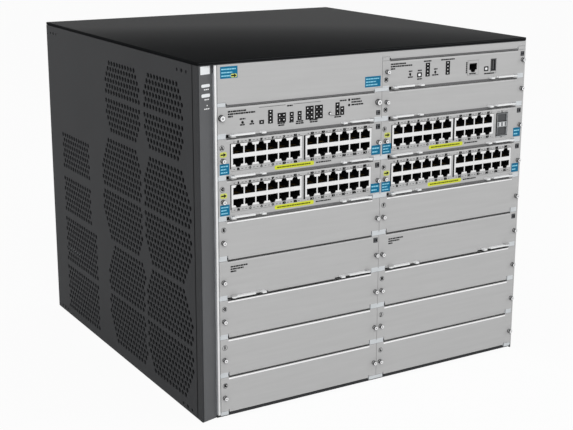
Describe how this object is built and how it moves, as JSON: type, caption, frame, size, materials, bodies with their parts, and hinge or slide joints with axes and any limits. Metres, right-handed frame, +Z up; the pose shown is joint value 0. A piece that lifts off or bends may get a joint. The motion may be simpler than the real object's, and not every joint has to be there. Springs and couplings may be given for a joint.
{
  "type": "modular chassis switch",
  "caption": "Rack-wide modular network switch chassis with perforated side walls, latched slide-in modules, jack banks, blank slot covers and a rear fan tray and power bays.",
  "frame": {"origin": "centre of the base's footprint over the shell's depth, on the underside of the base pan", "axes": "+X to the right seen from the front, +Y from the front to the rear, +Z up"},
  "size_m": [0.4444, 0.4806, 0.4],
  "materials": {
    "shell": "satin charcoal powder coat",
    "bezel": "fine matt grey",
    "zinc": "bright zinc plate",
    "faceplate": "matt light grey",
    "lever": "bright, lightly brushed",
    "board": "solder mask",
    "socket": "moulded black",
    "rotor": "moulded black",
    "cap": "smooth black"
  },
  "bodies": {
    "chassis": {"base_pan": "shell", "top_cover": "shell", "left_side_wall": "shell", "right_side_wall": "shell", "rear_panel": "zinc", "bezel_strip": "bezel", "upper_front_panel": "faceplate", "blank_panels": "faceplate", "card_cage": "zinc", "backplane": "board", "power_bay_covers": "zinc"},
    "line_module_a_body": {"line_module_a": "faceplate", "line_board_a": "board", "port_jacks_a": "socket"},
    "lever_a_left_body": {"lever_a_left": "lever"},
    "lever_a_right_body": {"lever_a_right": "lever"},
    "line_module_b_body": {"line_module_b": "faceplate", "line_board_b": "board", "port_jacks_b": "socket", "optical_cage": "zinc"},
    "lever_b_left_body": {"lever_b_left": "lever"},
    "lever_b_right_body": {"lever_b_right": "lever"},
    "line_module_c_body": {"line_module_c": "faceplate", "line_board_c": "board", "port_jacks_c": "socket"},
    "lever_c_left_body": {"lever_c_left": "lever"},
    "lever_c_right_body": {"lever_c_right": "lever"},
    "line_module_d_body": {"line_module_d": "faceplate", "line_board_d": "board", "port_jacks_d": "socket"},
    "lever_d_left_body": {"lever_d_left": "lever"},
    "lever_d_right_body": {"lever_d_right": "lever"},
    "fabric_module_1_body": {"fabric_module_1": "faceplate"},
    "lever_fabric_1_left_body": {"lever_fabric_1_left": "lever"},
    "lever_fabric_1_right_body": {"lever_fabric_1_right": "lever"},
    "fabric_module_2_body": {"fabric_module_2": "faceplate"},
    "lever_fabric_2_left_body": {"lever_fabric_2_left": "lever"},
    "lever_fabric_2_right_body": {"lever_fabric_2_right": "lever"},
    "support_module_body": {"support_module": "faceplate", "support_board": "board"},
    "lever_support_left_body": {"lever_support_left": "lever"},
    "lever_support_right_body": {"lever_support_right": "lever"},
    "management_module_body": {"management_module": "faceplate", "management_board": "board"},
    "lever_management_left_body": {"lever_management_left": "lever"},
    "lever_management_right_body": {"lever_management_right": "lever"},
    "management_filler_body": {"management_filler": "faceplate"},
    "lever_filler_left_body": {"lever_filler_left": "lever"},
    "lever_filler_right_body": {"lever_filler_right": "lever"},
    "reset_button_body": {"reset_button": "cap"},
    "clear_button_body": {"clear_button": "cap"},
    "select_button_body": {"select_button": "cap"},
    "shutdown_button_body": {"shutdown_button": "cap"},
    "restart_button_body": {"restart_button": "cap"},
    "power_supply_1_body": {"power_supply_1": "zinc"},
    "power_supply_2_body": {"power_supply_2": "zinc"},
    "fan_tray_body": {"fan_tray": "zinc"},
    "fan_rotor_1_body": {"fan_rotor_1": "rotor"},
    "fan_rotor_2_body": {"fan_rotor_2": "rotor"},
    "fan_rotor_3_body": {"fan_rotor_3": "rotor"}
  },
  "joints": [
    {"name": "line_module_a_slide", "type": "slide", "parent": "chassis", "child": "line_module_a_body", "axis": [0, -1, 0], "range_m": [0, 0.26]},
    {"name": "lever_a_left_pivot", "type": "hinge", "parent": "line_module_a_body", "child": "lever_a_left_body", "pos_m": [-0.1835, -0.2282, 0.27582], "axis": [0, 0, -1], "range_deg": [0, 75]},
    {"name": "lever_a_right_pivot", "type": "hinge", "parent": "line_module_a_body", "child": "lever_a_right_body", "pos_m": [-0.00625, -0.2282, 0.27582], "axis": [0, 0, 1], "range_deg": [0, 75]},
    {"name": "line_module_b_slide", "type": "slide", "parent": "chassis", "child": "line_module_b_body", "axis": [0, -1, 0], "range_m": [0, 0.26]},
    {"name": "lever_b_left_pivot", "type": "hinge", "parent": "line_module_b_body", "child": "lever_b_left_body", "pos_m": [0.02625, -0.2282, 0.27582], "axis": [0, 0, -1], "range_deg": [0, 75]},
    {"name": "lever_b_right_pivot", "type": "hinge", "parent": "line_module_b_body", "child": "lever_b_right_body", "pos_m": [0.20425, -0.2282, 0.27582], "axis": [0, 0, 1], "range_deg": [0, 75]},
    {"name": "line_module_c_slide", "type": "slide", "parent": "chassis", "child": "line_module_c_body", "axis": [0, -1, 0], "range_m": [0, 0.26]},
    {"name": "lever_c_left_pivot", "type": "hinge", "parent": "line_module_c_body", "child": "lever_c_left_body", "pos_m": [-0.1835, -0.2282, 0.23095], "axis": [0, 0, -1], "range_deg": [0, 75]},
    {"name": "lever_c_right_pivot", "type": "hinge", "parent": "line_module_c_body", "child": "lever_c_right_body", "pos_m": [-0.00625, -0.2282, 0.23095], "axis": [0, 0, 1], "range_deg": [0, 75]},
    {"name": "line_module_d_slide", "type": "slide", "parent": "chassis", "child": "line_module_d_body", "axis": [0, -1, 0], "range_m": [0, 0.26]},
    {"name": "lever_d_left_pivot", "type": "hinge", "parent": "line_module_d_body", "child": "lever_d_left_body", "pos_m": [0.02625, -0.2282, 0.23095], "axis": [0, 0, -1], "range_deg": [0, 75]},
    {"name": "lever_d_right_pivot", "type": "hinge", "parent": "line_module_d_body", "child": "lever_d_right_body", "pos_m": [0.20425, -0.2282, 0.23095], "axis": [0, 0, 1], "range_deg": [0, 75]},
    {"name": "fabric_module_1_slide", "type": "slide", "parent": "chassis", "child": "fabric_module_1_body", "axis": [0, -1, 0], "range_m": [0, 0.26]},
    {"name": "lever_fabric_1_left_pivot", "type": "hinge", "parent": "fabric_module_1_body", "child": "lever_fabric_1_left_body", "pos_m": [-0.1835, -0.2282, 0.14121], "axis": [0, 0, -1], "range_deg": [0, 75]},
    {"name": "lever_fabric_1_right_pivot", "type": "hinge", "parent": "fabric_module_1_body", "child": "lever_fabric_1_right_body", "pos_m": [-0.00625, -0.2282, 0.14121], "axis": [0, 0, 1], "range_deg": [0, 75]},
    {"name": "fabric_module_2_slide", "type": "slide", "parent": "chassis", "child": "fabric_module_2_body", "axis": [0, -1, 0], "range_m": [0, 0.26]},
    {"name": "lever_fabric_2_left_pivot", "type": "hinge", "parent": "fabric_module_2_body", "child": "lever_fabric_2_left_body", "pos_m": [0.02625, -0.2282, 0.14121], "axis": [0, 0, -1], "range_deg": [0, 75]},
    {"name": "lever_fabric_2_right_pivot", "type": "hinge", "parent": "fabric_module_2_body", "child": "lever_fabric_2_right_body", "pos_m": [0.20425, -0.2282, 0.14121], "axis": [0, 0, 1], "range_deg": [0, 75]},
    {"name": "support_module_slide", "type": "slide", "parent": "chassis", "child": "support_module_body", "axis": [0, -1, 0], "range_m": [0, 0.26]},
    {"name": "lever_support_left_pivot", "type": "hinge", "parent": "support_module_body", "child": "lever_support_left_body", "pos_m": [-0.1835, -0.2282, 0.32069], "axis": [0, 0, -1], "range_deg": [0, 75]},
    {"name": "lever_support_right_pivot", "type": "hinge", "parent": "support_module_body", "child": "lever_support_right_body", "pos_m": [-0.00625, -0.2282, 0.32069], "axis": [0, 0, 1], "range_deg": [0, 75]},
    {"name": "management_module_slide", "type": "slide", "parent": "chassis", "child": "management_module_body", "axis": [0, -1, 0], "range_m": [0, 0.26]},
    {"name": "lever_management_left_pivot", "type": "hinge", "parent": "management_module_body", "child": "lever_management_left_body", "pos_m": [0.02625, -0.2282, 0.35519], "axis": [0, 0, -1], "range_deg": [0, 75]},
    {"name": "lever_management_right_pivot", "type": "hinge", "parent": "management_module_body", "child": "lever_management_right_body", "pos_m": [0.20425, -0.2282, 0.35519], "axis": [0, 0, 1], "range_deg": [0, 75]},
    {"name": "management_filler_slide", "type": "slide", "parent": "chassis", "child": "management_filler_body", "axis": [0, -1, 0], "range_m": [0, 0.26]},
    {"name": "lever_filler_left_pivot", "type": "hinge", "parent": "management_filler_body", "child": "lever_filler_left_body", "pos_m": [0.02625, -0.2282, 0.32069], "axis": [0, 0, -1], "range_deg": [0, 75]},
    {"name": "lever_filler_right_pivot", "type": "hinge", "parent": "management_filler_body", "child": "lever_filler_right_body", "pos_m": [0.20425, -0.2282, 0.32069], "axis": [0, 0, 1], "range_deg": [0, 75]},
    {"name": "reset_button_press", "type": "slide", "parent": "support_module_body", "child": "reset_button_body", "axis": [0, 1, 0], "range_m": [0, 0.0012], "stiffness_N_per_m": 500, "springref_m": -0.001},
    {"name": "clear_button_press", "type": "slide", "parent": "support_module_body", "child": "clear_button_body", "axis": [0, 1, 0], "range_m": [0, 0.0012], "stiffness_N_per_m": 500, "springref_m": -0.001},
    {"name": "select_button_press", "type": "slide", "parent": "support_module_body", "child": "select_button_body", "axis": [0, 1, 0], "range_m": [0, 0.0012], "stiffness_N_per_m": 500, "springref_m": -0.001},
    {"name": "shutdown_button_press", "type": "slide", "parent": "management_module_body", "child": "shutdown_button_body", "axis": [0, 1, 0], "range_m": [0, 0.0012], "stiffness_N_per_m": 500, "springref_m": -0.001},
    {"name": "restart_button_press", "type": "slide", "parent": "management_module_body", "child": "restart_button_body", "axis": [0, 1, 0], "range_m": [0, 0.0012], "stiffness_N_per_m": 500, "springref_m": -0.001},
    {"name": "power_supply_1_slide", "type": "slide", "parent": "chassis", "child": "power_supply_1_body", "axis": [0, 1, 0], "range_m": [0, 0.16]},
    {"name": "power_supply_2_slide", "type": "slide", "parent": "chassis", "child": "power_supply_2_body", "axis": [0, 1, 0], "range_m": [0, 0.16]},
    {"name": "fan_tray_slide", "type": "slide", "parent": "chassis", "child": "fan_tray_body", "axis": [0, 1, 0], "range_m": [0, 0.09]},
    {"name": "fan_rotor_1_spin", "type": "hinge", "parent": "fan_tray_body", "child": "fan_rotor_1_body", "pos_m": [-0.13, 0.2035, 0.1657], "axis": [0, 1, 0], "continuous": true},
    {"name": "fan_rotor_2_spin", "type": "hinge", "parent": "fan_tray_body", "child": "fan_rotor_2_body", "pos_m": [0, 0.2035, 0.1657], "axis": [0, 1, 0], "continuous": true},
    {"name": "fan_rotor_3_spin", "type": "hinge", "parent": "fan_tray_body", "child": "fan_rotor_3_body", "pos_m": [0.13, 0.2035, 0.1657], "axis": [0, 1, 0], "continuous": true}
  ]
}
